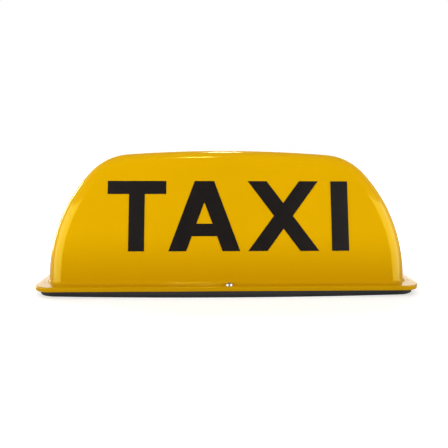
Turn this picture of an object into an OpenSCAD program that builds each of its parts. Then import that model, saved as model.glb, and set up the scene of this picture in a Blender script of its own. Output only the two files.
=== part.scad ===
// Magnetic roof sign of a taxi: a vacuum-formed acrylic dome screwed to a moulded base
// with four pot magnets and two bayonet lamps. Millimetres, +Z up, the front faces -Y,
// the origin is the middle of the footprint on the roof.

/* [Dome] */
// Length of the dome's flange, end to end
flange_l = 350; // [340:5:380]
// Depth of the dome's flange, front to back
flange_w = 130; // [128:1:136]
// Corner radius of the flange in plan
flange_r = 15; // [12:1:18]
// Height of the dome's crown above the roof
crown_z = 131; // [124:1:136]
// Lean of the front and rear faces from upright, in degrees
face_lean = 14; // [10:1:16]
// Rounding between the faces and the roof of the dome
edge_r = 15; // [12:1:18]
// Thickness of the acrylic
wall = 2.5; // [2:0.5:3]
// Width of the flange's shelf at each end
end_shelf = 8.5; // [7:0.5:12]
// Width of the flange's shelf at the front and rear
side_shelf = 11; // [10:0.5:12]

/* [Lettering] */
// Height of the letters, measured up the face
letter_h = 65.5; // [50:0.5:70]
// Width of a letter's stroke
stroke = 14.5; // [10:0.5:16]
// Height above the roof at which the letters stand
letter_z = 38.8; // [30:0.5:45]
// Thickness of the vinyl film
film = 0.3; // [0.2:0.1:0.5]

/* [Base] */
// Half of the base's length
base_hl = 174; // [168:0.5:174]
// Half of the base's depth at its middle
base_hw = 64.4; // [62:0.1:64.4]
// How far the long edges draw in towards the ends
base_bow = 5.5; // [3:0.5:6]
// Corner radius of the base in plan
base_r = 18; // [18:1:26]
// Top of the ledge that carries the gasket
ledge_z = 5.6; // [5.4:0.1:5.8]

/* [Magnets] */
// Distance of the magnets from the middle, along the sign
magnet_x = 118; // [114:1:124]
// Distance of the magnets from the middle, across the sign
magnet_y = 26; // [25:0.5:26]
// Radius of the steel pot
pot_r = 20.5; // [19:0.5:20.5]

/* [Lamps] */
// Distance of each lamp from the middle
lamp_x = 56; // [50:1:57]
// Height of the bulb's bayonet pins above the roof
pin_z = 24; // [23:0.5:25]
// Travel of the bulb when it is pushed home
push = 2; // [1.5:0.1:2]

/* [Hidden] */

$fn = 48;
eps = 0.1;

// Dome: heights and derived sizes
flange_z = 10;                       // top of the flange
flange_t = 2.5;                      // flange thickness
rim_z = 5.9;                         // lower edge of the turned-down rim
rim_t = 2.2;                         // rim thickness
rim_break = 0.6;                     // broken edge on top of the rim
foot_fillet = 3.5;                   // fillet between the wall and the flange
foot_z = flange_z + foot_fillet;     // where the wall proper starts
foot_hl = flange_l / 2 - end_shelf;  // half length of the wall at its foot
foot_hw = flange_w / 2 - side_shelf; // half depth of the wall, at the flange
flank_r = 134;                       // large arc of each end
flank_z = 20;                        // height where that arc starts
shoulder_r = 54;                     // arc between the end and the crown
crown_r = 1300;                      // slight arch of the crown
flank_steps = 7;
shoulder_steps = 7;
crown_steps = 5;
edge_steps = 6;
band_steps = 4;

// Centres of the three arcs of the front outline, each tangent to the next
flank_c = [foot_hl - flank_r, flank_z];
crown_c = [0, crown_z - crown_r];
shoulder_c = arc_between(flank_c, flank_r - shoulder_r, crown_c, crown_r - shoulder_r);
flank_end = atan2(shoulder_c.y - flank_c.y, shoulder_c.x - flank_c.x);
crown_end = atan2(shoulder_c.y - crown_c.y, shoulder_c.x - crown_c.x);

// The point at distance ra from a and rb from b, on the right of the line from a to b
function arc_between(a, ra, b, rb) =
    let (d = norm(b - a), u = (b - a) / d, k = (ra * ra - rb * rb + d * d) / (2 * d))
    a + k * u + sqrt(ra * ra - k * k) * [-u.y, u.x];

function polar(c, r, a) = [c.x + r * cos(a), c.y + r * sin(a)];

// Angles of the outline's normals from the foot of the right end to the crown
half_angles = concat(
    [for (i = [0 : flank_steps]) i * flank_end / flank_steps],
    [for (i = [1 : shoulder_steps]) flank_end + i * (crown_end - flank_end) / shoulder_steps],
    [for (i = [1 : crown_steps]) crown_end + i * (90 - crown_end) / crown_steps]);
angles = concat(
    [for (a = half_angles) 180 - a],
    [for (i = [len(half_angles) - 2 : -1 : 0]) half_angles[i]]);

// A point of the core, edge_r inside the front outline, for a normal's angle
function core_xz(a) =
    let (b = a > 90 ? 180 - a : a, side = a > 90 ? -1 : 1,
         p = b <= flank_end ? polar(flank_c, flank_r - edge_r, b)
           : b <= crown_end ? polar(shoulder_c, shoulder_r - edge_r, b)
           : polar(crown_c, crown_r - edge_r, b))
    [side * p.x, p.y];

// Half depth of the core at a height: the leaning face, edge_r further in
function core_y(z) = foot_hw - (z - flange_z) * tan(face_lean) - edge_r / cos(face_lean);

face_n = [0, -cos(face_lean), sin(face_lean)];

// Normal on the rounding, from the face at t = 0 to the outline's own normal at t = 1
function edge_n(outline_n, t) =
    let (w = acos(face_n * outline_n))
    (sin((1 - t) * w) * face_n + sin(t * w) * outline_n) / sin(w);

// Mirror of a point or direction from the front to the rear
function rearward(p) = [p.x, -p.y, p.z];

// Points across the dome at one normal of the outline, from the front foot to the rear foot
function section(a, r) =
    let (p = core_xz(a), n = [cos(a), 0, sin(a)], y = core_y(p.y),
         front = [for (k = [0 : edge_steps])
             [p.x, -y, p.y] + r * edge_n(n, k / edge_steps)],
         foot = [p.x, -wall_y(foot_z, r), foot_z])
    concat([foot], front,
        [for (k = [1 : band_steps - 1]) [p.x, y * (2 * k / band_steps - 1), p.y] + r * n],
        [for (k = [edge_steps : -1 : 0]) rearward(front[k])], [rearward(foot)]);

// Half depth of a face at a height, for the outer skin (r = edge_r) or the inner one
function wall_y(z, r) =
    foot_hw - (z - flange_z) * tan(face_lean) - (edge_r - r) / cos(face_lean);

// Points of the dome's foot round one end, at a constant height, for side = -1 or 1
function end_foot(side, r) =
    let (n = [side, 0, 0],
         front = [for (k = [1 : edge_steps])
             let (m = edge_n(n, k / edge_steps), z = foot_z - r * m.z)
             [side * (foot_hl - edge_r), -core_y(z), z] + r * m])
    concat(front,
        [for (k = [1 : band_steps - 1])
            [side * (foot_hl - edge_r + r), core_y(foot_z) * (2 * k / band_steps - 1), foot_z]],
        [for (k = [edge_steps - 1 : -1 : 0]) rearward(front[k])]);

lines = len(angles);
columns = 2 * edge_steps + band_steps + 3;
end_n = 2 * edge_steps + band_steps - 1;
ring_n = 2 * lines + 2 * end_n;
sheet_n = lines * columns;

// One skin of the dome: the grid of sections, then the two ends of the foot
function skin(r) = concat(
    [for (a = angles) each section(a, r)], end_foot(1, r), end_foot(-1, r));

// Places in a skin's list of the closed ring along its foot, anticlockwise from above
foot_ring = concat(
    [for (i = [0 : lines - 1]) i * columns],
    [for (k = [0 : end_n - 1]) sheet_n + k],
    [for (i = [lines - 1 : -1 : 0]) i * columns + columns - 1],
    [for (k = [end_n - 1 : -1 : 0]) sheet_n + end_n + k]);

// For each place on that ring, its direction in plan and its centre on the flange's outline
function edge_dir(side, k) =
    let (m = edge_n([side, 0, 0], k / edge_steps)) [m.x, m.y] / norm([m.x, m.y]);
function end_dirs(side) = concat(
    [for (k = [1 : edge_steps]) edge_dir(side, k)],
    [for (k = [1 : band_steps - 1]) [side, 0]],
    [for (k = [edge_steps : -1 : 1]) [edge_dir(side, k).x, -edge_dir(side, k).y]]);
function end_centres(side) =
    let (cx = side * (flange_l / 2 - flange_r), cy = flange_w / 2 - flange_r)
    concat(
        [for (k = [1 : edge_steps]) [cx, -cy]],
        [for (k = [1 : band_steps - 1]) [cx, cy * (2 * k / band_steps - 1)]],
        [for (k = [1 : edge_steps]) [cx, cy]]);
function long_centres(side) =
    [for (a = angles) [core_xz(a).x * (flange_l / 2 - flange_r) / (foot_hl - edge_r),
        side * (flange_w / 2 - flange_r)]];
function reversed(v) = [for (i = [len(v) - 1 : -1 : 0]) v[i]];

ring_dirs = concat([for (a = angles) [0, -1]], end_dirs(1), [for (a = angles) [0, 1]],
    reversed(end_dirs(-1)));
ring_centres = concat(long_centres(-1), end_centres(1), reversed(long_centres(1)),
    reversed(end_centres(-1)));

function flange_ring(inset, z) =
    [for (i = [0 : ring_n - 1])
        let (p = ring_centres[i] + (flange_r - inset) * ring_dirs[i]) [p.x, p.y, z]];
function foot_offset_ring(points, out, z) =
    [for (i = [0 : ring_n - 1])
        let (p = points[foot_ring[i]]) [p.x + out * ring_dirs[i].x, p.y + out * ring_dirs[i].y, z]];

// Triangles of one skin; flip turns them to face the other way
function tri(a, b, c, flip) = flip ? [a, c, b] : [a, b, c];
function quad(a, b, c, d, flip) = [tri(a, b, c, flip), tri(a, c, d, flip)];
function end_column(side, j) =
    let (line = side > 0 ? lines - 1 : 0, start = sheet_n + (side > 0 ? 0 : end_n))
    j == 1 ? line * columns : j == columns - 2 ? line * columns + columns - 1 : start + j - 2;
function skin_faces(at, flip) = concat(
    [for (i = [0 : lines - 2], j = [0 : columns - 2])
        each quad(at + i * columns + j, at + i * columns + j + 1,
            at + (i + 1) * columns + j + 1, at + (i + 1) * columns + j, flip)],
    [for (side = [-1, 1], j = [1 : columns - 3])
        let (line = side > 0 ? (lines - 1) * columns : 0, turn = side > 0 ? !flip : flip)
        each quad(at + end_column(side, j), at + end_column(side, j + 1),
            at + line + j + 1, at + line + j, turn)]);
function band_faces(a, b) =
    [for (i = [0 : ring_n - 1])
        let (k = (i + 1) % ring_n) each quad(a[i], a[k], b[k], b[i], false)];

// The acrylic shell with its flange and turned-down rim
module dome_shell() {
    outer = skin(edge_r);
    inner = skin(edge_r - wall);
    half = foot_fillet * (1 - sin(45));
    rings = [
        flange_ring(rim_t, flange_z - flange_t), flange_ring(rim_t, rim_z), flange_ring(0, rim_z),
        flange_ring(0, flange_z - rim_break), flange_ring(rim_break, flange_z),
        foot_offset_ring(outer, foot_fillet, flange_z),
        foot_offset_ring(outer, half, flange_z + half)];
    inner_low = foot_offset_ring(inner, 0, flange_z - flange_t);
    at_rings = 2 * len(outer);
    places = [for (r = [0 : len(rings) - 1])
        [for (i = [0 : ring_n - 1]) at_rings + r * ring_n + i]];
    at_low = at_rings + len(rings) * ring_n;
    low = [for (i = [0 : ring_n - 1]) at_low + i];
    inner_foot = [for (k = foot_ring) len(outer) + k];
    chain = concat([inner_foot, low], places, [foot_ring]);
    polyhedron(
        points = concat(outer, inner, [for (r = rings) each r], inner_low),
        faces = concat(
            skin_faces(0, false), skin_faces(len(outer), true),
            [for (c = [0 : len(chain) - 2]) each band_faces(chain[c + 1], chain[c])]));
}

// Base: heights and derived sizes
base_z = 1.5;                        // underside of the moulded plate
floor_z = 4;                         // top of its floor
band_w = 12;                         // width of the raised edge under the flange
skirt_w = 6;                         // width of the rubber skirt under that edge
skirt_z = 3;                         // height of the skirt
gasket_in = 2.4;                     // gasket's outer edge, in from the base's outline
gasket_w = 7;
arc_r = (150 * 150 + base_bow * base_bow) / (2 * base_bow); // radius of the bowed long edges
corner_steps = 8;
long_steps = 10;
gate_x = 3;
gate_z = 4.4;
gate_r = 0.8;
gate_h = 0.4;

// Dome screws, one at the middle of each long side
dome_screw_y = 59.5;
dome_screw_r = 1.75;
dome_screw_tip = 2.2;
screw_boss_r = 3.2;

// Cord inlet, in the rear face near its foot
cord_x = 40;
cord_up = 13;                        // distance of the inlet from the flange, up the face
cord_r = 2.1;                        // bore for the cord
grommet_neck_r = 4.5;
grommet_r = 7;
grommet_lip = 1.8;

// Magnets: one pot per corner in a pocket of the plate
pot_bottom = 1;
pot_top = 8;
pot_wall = 2;
pot_roof = 1.8;
boot_t = 1;
pocket_gap = 0.1;
pocket_wall = 2.2;
pocket_roof = 2.4;
pot_hub_r = 5.8;
m4_r = 2;
m4_head_r = 4;
m4_nut_af = 7;

// Lamps: bracket, holder and bulb
bracket_z = 14;
bracket_t = 1.2;
bracket_w = 24;
bracket_l = 168;
bracket_hole = 8.7;
boss_x = 76;
boss_r = 4.5;
bracket_screw_r = 1.4;
shell_ir = 7.6;
shell_or = 8.25;
shell_bottom = 7;
shell_top = 28;
lip_t = 0.5;
holder_flange_r = 10;
holder_flange_t = 1.2;
holder_bead_r = 9.3;
holder_bead_t = 0.8;
insulator_t = 2;
tag_t = 0.4;
cap_r = 7.5;
cap_bottom = 17.4;
cap_top = 31;
cap_t = 0.4;
pin_r = 1;
pin_reach = 8.8;
slot_gap = 0.3;
slot_cut = 4;                        // depth of the boxes that cut the bayonet slots
slot_turn = 28;
glass_r = 9.3;
glass_z = 43;
glass_neck_r = 7.1;
glass_t = 0.7;
disc_bottom = 14.5;
disc_t = 1.6;
disc_r = 7.2;
button_r = 2.2;
wire_r = 0.35;
coil_r = 5.4;
coil_turns = 2.5;

// Wiring
block = [26, 14, 12];
block_y = 33;
way_pitch = 8;
way_z = 9;
lead_r = 0.9;
lead_sides = 8;
lead_steps = 14;

// ---------------------------------------------------------------- shared shapes

// A ring of two concentric radii between two heights
module tube(ro, ri, z0, z1) {
    translate([0, 0, z0]) difference() {
        cylinder(r = ro, h = z1 - z0);
        translate([0, 0, -eps]) cylinder(r = ri, h = z1 - z0 + 2 * eps);
    }
}

module rod(r, z0, z1) {
    translate([0, 0, z0]) cylinder(r = r, h = z1 - z0);
}

// A pan-head screw pointing down, its head resting at height z
module pan_screw(r, head_r, head_h, z, tip) {
    difference() {
        union() {
            rod(r, tip, z + eps);
            translate([0, 0, z]) cylinder(r1 = head_r, r2 = head_r * 0.78, h = head_h);
        }
        for (a = [0, 90]) rotate([0, 0, a])
            translate([-head_r * 0.5, -0.35, z + head_h * 0.45]) cube([head_r, 0.7, head_h]);
    }
}

module at_corner(sx, sy) {
    translate([sx * magnet_x, sy * magnet_y, 0]) children();
}

module at_corners() {
    for (sx = [-1, 1], sy = [-1, 1]) at_corner(sx, sy) children();
}

// Outline of the base in plan, moved in by a distance
base_corner_y =
    (base_hw - arc_r) + sqrt(pow(arc_r - base_r, 2) - pow(base_hl - base_r, 2));
function base_outline(inset) =
    let (cx = base_hl - base_r, cy = base_corner_y, yc = base_hw - arc_r,
         tangent = atan2(cy - yc, cx),
         corner = [for (i = [0 : corner_steps])
             polar([cx, cy], base_r - inset, i * tangent / corner_steps)],
         long = [for (i = [1 : long_steps])
             polar([0, yc], arc_r - inset, tangent + i * (90 - tangent) / long_steps)],
         quarter = concat(corner, long),
         half = concat(quarter, [for (i = [len(quarter) - 2 : -1 : 0]) [-quarter[i].x, quarter[i].y]]))
    concat(half, [for (i = [len(half) - 1 : -1 : 0]) [half[i].x, -half[i].y]]);

module base_slab(inset, z0, z1) {
    translate([0, 0, z0]) linear_extrude(z1 - z0) polygon(base_outline(inset));
}

module base_ring(outer, inner, z0, z1) {
    difference() {
        base_slab(outer, z0, z1);
        base_slab(inner, z0 - eps, z1 + eps);
    }
}

// Moves children from flat, x right and y up, onto the front (side = -1) or rear face
module on_face(side) {
    rotate([0, 0, side < 0 ? 0 : 180]) translate([0, -foot_hw, flange_z])
        rotate([90 - face_lean, 0, 0]) children();
}

// A round bar along a list of points
module bar_along(path, r, sides) {
    n = len(path);
    dirs = [for (i = [0 : n - 1])
        let (d = path[min(i + 1, n - 1)] - path[max(i - 1, 0)]) d / norm(d)];
    rings = [for (i = [0 : n - 1])
        let (u = cross(dirs[i], [0, 0, 1]), a = u / norm(u), b = cross(dirs[i], a))
        each [for (k = [0 : sides - 1])
            path[i] + r * (cos(360 * k / sides) * a + sin(360 * k / sides) * b)]];
    polyhedron(
        points = rings,
        faces = concat(
            [[for (k = [0 : sides - 1]) k]],
            [for (i = [0 : n - 2], k = [0 : sides - 1])
                let (m = (k + 1) % sides)
                each quad(i * sides + k, i * sides + m, (i + 1) * sides + m, (i + 1) * sides + k, true)],
            [[for (k = [sides - 1 : -1 : 0]) (n - 1) * sides + k]]));
}

// Points of a smooth curve from four control points
function curve(p, steps) =
    [for (i = [0 : steps]) let (t = i / steps, s = 1 - t)
        s * s * s * p[0] + 3 * s * s * t * p[1] + 3 * s * t * t * p[2] + t * t * t * p[3]];

// ---------------------------------------------------------------- dome and lettering

module dome() {
    color("#eab000") difference() {
        dome_shell();
        for (sy = [-1, 1]) translate([0, sy * dome_screw_y, 0])
            rod(dome_screw_r + 0.25, rim_z, flange_z + 1);
        on_face(1) translate([-cord_x, cord_up, 0]) rod(grommet_neck_r, -wall - 4, 2);
    }
}

// Plain block capitals, their strokes drawn from the letter's height and stroke alone
module letter_t(w) {
    bar = letter_h - stroke * 0.85;
    stem = [(w - stroke) / 2, (w + stroke) / 2];
    polygon([[stem[0], 0], [stem[1], 0], [stem[1], bar], [w, bar], [w, letter_h], [0, letter_h],
        [0, bar], [stem[0], bar]]);
}

module letter_a(w) {
    leg = stroke * 1.12;
    apex = stroke * 0.62;
    bar = [stroke * 0.95, stroke * 1.75];
    k = (w / 2 - apex) / letter_h;
    peak = (w / 2 - leg) / k;
    difference() {
        polygon([[0, 0], [w, 0], [w / 2 + apex, letter_h], [w / 2 - apex, letter_h]]);
        polygon([[leg, -eps], [w - leg, -eps], [w - leg - k * bar[0], bar[0]], [leg + k * bar[0], bar[0]]]);
        polygon([[leg + k * bar[1], bar[1]], [w - leg - k * bar[1], bar[1]], [w / 2, peak]]);
    }
}

module letter_x(w) {
    leg = stroke * 1.22;
    side = (w - leg) / 2;
    notch = letter_h * (w / 2 - leg) / (w - leg);
    polygon([[0, 0], [leg, 0], [w / 2, notch], [w - leg, 0], [w, 0], [w - side, letter_h / 2],
        [w, letter_h], [w - leg, letter_h], [w / 2, letter_h - notch], [leg, letter_h],
        [0, letter_h], [side, letter_h / 2]]);
}

module lettering(side) {
    widths = [54, 66, 66, stroke * 1.1];
    gaps = [2.5, 7.5, 12];
    total = widths[0] + widths[1] + widths[2] + widths[3] + gaps[0] + gaps[1] + gaps[2];
    starts = [-total / 2, -total / 2 + widths[0] + gaps[0],
        -total / 2 + widths[0] + widths[1] + gaps[0] + gaps[1], total / 2 - widths[3]];
    color("#26201a") on_face(side) translate([0, (letter_z - flange_z) / cos(face_lean), 0])
        linear_extrude(film) {
            translate([starts[0], 0]) letter_t(widths[0]);
            translate([starts[1], 0]) letter_a(widths[1]);
            translate([starts[2], 0]) letter_x(widths[2]);
            translate([starts[3], 0]) square([widths[3], letter_h]);
        }
}

module front_lettering() { lettering(-1); }
module rear_lettering() { lettering(1); }

// ---------------------------------------------------------------- base

module base_plate() {
    pocket_r = pot_r + boot_t + pocket_gap;
    color("#3c3c3a") difference() {
        union() {
            base_slab(skirt_w, base_z, floor_z);
            base_ring(0, band_w, skirt_z, ledge_z);
            for (sy = [-1, 1]) translate([0, sy * dome_screw_y, 0])
                rod(screw_boss_r, base_z, skirt_z + eps);
            at_corners() rod(pocket_r + pocket_wall, base_z, pot_top + pocket_roof);
            for (sx = [-1, 1]) translate([sx * boss_x, 0, 0]) rod(boss_r, base_z, bracket_z);
            // Stub left by the mould's gate, at the middle of the front edge
            translate([gate_x, -base_hw + 1, gate_z]) rotate([90, 0, 0])
                cylinder(r = gate_r, h = 1 + gate_h);
        }
        at_corners() {
            rod(pocket_r, 0, pot_top);
            rod(m4_r + 0.2, pot_top - eps, pot_top + pocket_roof + eps);
        }
        for (sx = [-1, 1]) translate([sx * boss_x, 0, 0]) rod(bracket_screw_r, 5.5, bracket_z + eps);
        for (sy = [-1, 1]) translate([0, sy * dome_screw_y, 0])
            rod(dome_screw_r, 2, ledge_z + eps);
        translate([way_pitch / 2, block_y, 0]) rod(1.3, 2, floor_z + eps);
        for (sx = [-1, 1], sy = [-1, 1]) translate([sx * 20, sy * 40, 0]) rod(2, 0, floor_z + eps);
    }
}

module rubber_skirt() {
    color("#1d1e1f") difference() {
        base_ring(0, skirt_w, 0, skirt_z);
        for (sy = [-1, 1]) translate([0, sy * dome_screw_y, 0]) rod(screw_boss_r, -eps, skirt_z + eps);
    }
}

module flange_gasket() {
    color("#2a2a2a") difference() {
        base_ring(gasket_in, gasket_in + gasket_w, ledge_z, flange_z - flange_t);
        for (sy = [-1, 1]) translate([0, sy * dome_screw_y, 0])
            rod(dome_screw_r + 0.25, ledge_z - eps, flange_z);
    }
}

module cord_grommet() {
    color("#202020") on_face(1) translate([-cord_x, cord_up, 0]) difference() {
        union() {
            rod(grommet_neck_r, -wall, 0);
            rod(grommet_r, 0, grommet_lip);
            rod(grommet_r, -wall - grommet_lip, -wall);
        }
        rod(cord_r, -wall - grommet_lip - eps, grommet_lip + eps);
    }
}

module dome_screws() {
    color("#c8c8c4") for (sy = [-1, 1]) translate([0, sy * dome_screw_y, 0])
        pan_screw(dome_screw_r, 3.3, 2.2, flange_z, dome_screw_tip);
}

// ---------------------------------------------------------------- magnets

module magnet_boot() {
    color("#1f1f20") difference() {
        rod(pot_r + boot_t, 0, pot_top);
        rod(pot_r, pot_bottom, pot_top + eps);
        rod(4.6, -eps, pot_top);
    }
}

module magnet_pot() {
    color("#a9adb0") difference() {
        rod(pot_r, pot_bottom, pot_top);
        tube(pot_r - pot_wall, pot_hub_r, pot_bottom - eps, pot_top - pot_roof);
        rod(pot_hub_r + eps, pot_bottom - eps, pot_bottom + 1);
        rod(m4_r + 0.1, pot_bottom, pot_top + eps);
        translate([0, 0, pot_bottom + 1 - 0.01])
            cylinder(r1 = m4_head_r + 0.11, r2 = m4_r + 0.1, h = m4_head_r - m4_r + 0.01);
    }
}

module magnet_ring() {
    color("#55524e") tube(pot_r - pot_wall - 0.2, pot_hub_r + 0.2, pot_bottom + 0.2, pot_top - pot_roof);
}

module magnet_boot_front_left() { at_corner(-1, -1) magnet_boot(); }
module magnet_boot_front_right() { at_corner(1, -1) magnet_boot(); }
module magnet_boot_rear_left() { at_corner(-1, 1) magnet_boot(); }
module magnet_boot_rear_right() { at_corner(1, 1) magnet_boot(); }
module magnet_pot_front_left() { at_corner(-1, -1) magnet_pot(); }
module magnet_pot_front_right() { at_corner(1, -1) magnet_pot(); }
module magnet_pot_rear_left() { at_corner(-1, 1) magnet_pot(); }
module magnet_pot_rear_right() { at_corner(1, 1) magnet_pot(); }
module magnet_ring_front_left() { at_corner(-1, -1) magnet_ring(); }
module magnet_ring_front_right() { at_corner(1, -1) magnet_ring(); }
module magnet_ring_rear_left() { at_corner(-1, 1) magnet_ring(); }
module magnet_ring_rear_right() { at_corner(1, 1) magnet_ring(); }

washer_z = pot_top + pocket_roof;
washer_t = 1;
nut_h = 3.2;

module magnet_screws() {
    head_z = pot_bottom + 1;
    color("#b9bcbe") at_corners() difference() {
        union() {
            translate([0, 0, head_z]) cylinder(r1 = m4_head_r, r2 = m4_r, h = m4_head_r - m4_r);
            rod(m4_r, head_z + 1, washer_z + washer_t + nut_h + 1);
        }
        for (a = [0, 90]) rotate([0, 0, a + 45])
            translate([-2, -0.4, head_z - eps]) cube([4, 0.8, 1.1]);
    }
}

module magnet_washers() {
    color("#8d9092") at_corners() difference() {
        tube(3.8, m4_r + 0.1, washer_z, washer_z + washer_t);
        translate([2, -0.3, washer_z - eps]) cube([3, 0.6, washer_t + 2 * eps]);
    }
}

module magnet_nuts() {
    color("#b4b7b9") at_corners() translate([0, 0, washer_z + washer_t]) difference() {
        cylinder(r = m4_nut_af / 2 / cos(30), h = nut_h, $fn = 6);
        translate([0, 0, -eps]) cylinder(r = m4_r, h = nut_h + 2 * eps);
    }
}

// ---------------------------------------------------------------- lamps

module at_lamp(side) {
    translate([side * lamp_x, 0, 0]) children();
}

bracket_top = bracket_z + bracket_t;
earth_t = 0.6;

module lamp_bracket() {
    color("#b8babb") difference() {
        translate([-bracket_l / 2, -bracket_w / 2, bracket_z]) cube([bracket_l, bracket_w, bracket_t]);
        for (side = [-1, 1]) {
            at_lamp(side) rod(bracket_hole, bracket_z - eps, bracket_top + eps);
            translate([side * boss_x, 0, 0]) rod(bracket_screw_r + 0.3, bracket_z - eps, bracket_top + eps);
        }
        for (x = [-24, 0, 24]) translate([x, 0, 0]) rod(6, bracket_z - eps, bracket_top + eps);
    }
}

module bracket_screws() {
    color("#c4c6c4") {
        translate([-boss_x, 0, 0]) pan_screw(bracket_screw_r, 2.9, 2, bracket_top, 6.5);
        translate([boss_x, 0, 0]) pan_screw(bracket_screw_r, 2.9, 2, bracket_top + earth_t, 7.1);
    }
}

// One box of a J-shaped slot through the holder's wall, facing a direction in plan
module slot_box(turn, w, z0, z1) {
    inner = shell_ir - slot_cut / 2;
    rotate([0, 0, turn]) translate([inner, -w / 2, z0]) cube([slot_cut, w, z1 - z0]);
}

// Bayonet socket: a drawn shell, clamped in the bracket by a flange above and a bead below
module lamp_holder(side) {
    slot_r = pin_r + slot_gap;
    slot_z = pin_z - push - slot_r;
    channel_w = 2 * shell_or * sin(slot_turn / 2) + 2 * slot_r * cos(slot_turn / 2) + slot_gap;
    color("#c9b877") at_lamp(side) difference() {
        rotate([0, 0, 75]) difference() {
            union() {
                rod(shell_or, shell_bottom, shell_top);
                rod(holder_flange_r, bracket_top, bracket_top + holder_flange_t);
                rod(holder_bead_r, bracket_z - holder_bead_t, bracket_z);
            }
            rod(shell_ir, shell_bottom + lip_t, shell_top + eps);
            rod(shell_ir - 1, shell_bottom - eps, shell_top);
        }
        for (turn = [0, 180]) rotate([0, 0, turn]) {
            slot_box(0, 2 * slot_r, slot_z + slot_r, pin_z + slot_r);
            slot_box(slot_turn / 2, channel_w, slot_z, slot_z + 2 * slot_r);
            slot_box(slot_turn, 2 * slot_r, slot_z + slot_r, shell_top + 1);
        }
    }
}

module holder_insulator(side) {
    color("#7b5a3a") at_lamp(side)
        tube(shell_ir - 0.05, 1.5, shell_bottom + lip_t, shell_bottom + lip_t + insulator_t);
}

// Contact plate above the insulator, its rivet, and the tag below for the lead
tag_top = shell_bottom + lip_t + insulator_t + tag_t;
tag_z = 6.2;
tag_reach = 16;
module solder_tag(side) {
    color("#c8a24a") at_lamp(side) {
        rod(6.8, tag_top - tag_t, tag_top);
        rod(1.5, tag_z, tag_top - tag_t + eps);
        translate([-1.5, 0, tag_z]) cube([3, tag_reach, tag_t]);
        rod(2.4, tag_z, shell_bottom + lip_t);
    }
}

module contact_spring(side) {
    bottom = tag_top + wire_r;
    rise = disc_bottom - tag_top - 2 * wire_r;
    steps = coil_turns * 16;
    color("#a8acae") at_lamp(side) bar_along(
        [for (i = [0 : steps]) let (a = 360 * coil_turns * i / steps)
            [coil_r * cos(a), coil_r * sin(a), bottom + rise * i / steps]], wire_r, 6);
}

module contact_disc(side) {
    color("#8a6a45") at_lamp(side) tube(disc_r, button_r, disc_bottom, disc_bottom + disc_t);
}

module contact_button(side) {
    color("#cfa850") at_lamp(side) {
        rod(button_r, disc_bottom, cap_bottom - 0.7);
        rod(button_r + 1, disc_bottom - 0.5, disc_bottom);
    }
}

module bulb_cap(side) {
    color("#c3bda8") at_lamp(side) difference() {
        union() {
            rod(cap_r, cap_bottom, cap_top);
            rotate([0, 90, 0]) translate([-pin_z, 0, -pin_reach]) cylinder(r = pin_r, h = 2 * pin_reach);
        }
        rod(cap_r - cap_t, cap_bottom + 1.6, cap_top + eps);
        rod(button_r + 1.2, cap_bottom - eps, cap_bottom + 0.8);
    }
}

module bulb_solder(side) {
    color("#9a9b98") at_lamp(side) rod(button_r, cap_bottom - 0.4, cap_bottom + 0.8);
}

module bulb_glass(side) {
    color("#dfe6e8") at_lamp(side) difference() {
        union() {
            translate([0, 0, glass_z]) sphere(r = glass_r);
            rod(glass_neck_r, cap_top - 4, glass_z);
        }
        translate([0, 0, glass_z]) sphere(r = glass_r - glass_t);
        rod(glass_neck_r - glass_t, cap_top - 4 + glass_t, glass_z);
    }
}

// Coiled filament on two support wires that stand in a glass bead
module bulb_filament(side) {
    color("#8e8f90") at_lamp(side) {
        rod(1.8, cap_top - 4 + glass_t, cap_top - 1);
        for (sx = [-1, 1]) translate([sx * 1.2, 0, 0]) rod(0.2, cap_top - 1.2, glass_z);
        translate([0, 0, glass_z]) rotate([0, 90, 0]) translate([0, 0, -2.6])
            cylinder(r = 0.45, h = 5.2);
    }
}

module lamp_holder_left() { lamp_holder(-1); }
module lamp_holder_right() { lamp_holder(1); }
module holder_insulator_left() { holder_insulator(-1); }
module holder_insulator_right() { holder_insulator(1); }
module solder_tag_left() { solder_tag(-1); }
module solder_tag_right() { solder_tag(1); }
module contact_spring_left() { contact_spring(-1); }
module contact_spring_right() { contact_spring(1); }
module contact_disc_left() { contact_disc(-1); }
module contact_disc_right() { contact_disc(1); }
module contact_button_left() { contact_button(-1); }
module contact_button_right() { contact_button(1); }
module bulb_cap_left() { bulb_cap(-1); }
module bulb_cap_right() { bulb_cap(1); }
module bulb_glass_left() { bulb_glass(-1); }
module bulb_glass_right() { bulb_glass(1); }
module bulb_filament_left() { bulb_filament(-1); }
module bulb_filament_right() { bulb_filament(1); }
module bulb_solder_left() { bulb_solder(-1); }
module bulb_solder_right() { bulb_solder(1); }

// ---------------------------------------------------------------- wiring

insert_r = 2.2;
insert_bore = 1.3;

module at_ways() {
    for (i = [-1, 0, 1]) translate([i * way_pitch, block_y, 0]) children();
}

module along_y(y0, y1, r, z) {
    translate([0, y0, z]) rotate([-90, 0, 0]) cylinder(r = r, h = y1 - y0);
}

module terminal_block() {
    color("#e6e2d6") difference() {
        translate([-block.x / 2, block_y - block.y / 2, floor_z]) cube(block);
        at_ways() {
            along_y(-block.y, block.y, insert_r, way_z);
            rod(1.9, way_z, floor_z + block.z + eps);
        }
        translate([way_pitch / 2, block_y, 0]) {
            rod(1.4, floor_z - eps, floor_z + block.z);
            rod(1.75, floor_z + 6, floor_z + block.z + eps);
        }
    }
}

module terminal_inserts() {
    color("#c9a145") at_ways() difference() {
        along_y(1 - block.y / 2, block.y / 2 - 1, insert_r, way_z);
        along_y(-block.y, block.y, insert_bore, way_z);
        rod(1.2, way_z, way_z + insert_r + eps);
    }
}

module terminal_screws() {
    color("#c2c2bd") at_ways() difference() {
        union() {
            rod(1.2, way_z + 1, way_z + 3);
            rod(1.7, way_z + 3, way_z + 5.5);
        }
        translate([-2, -0.25, way_z + 4.6]) cube([4, 0.5, 1]);
    }
}

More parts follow.
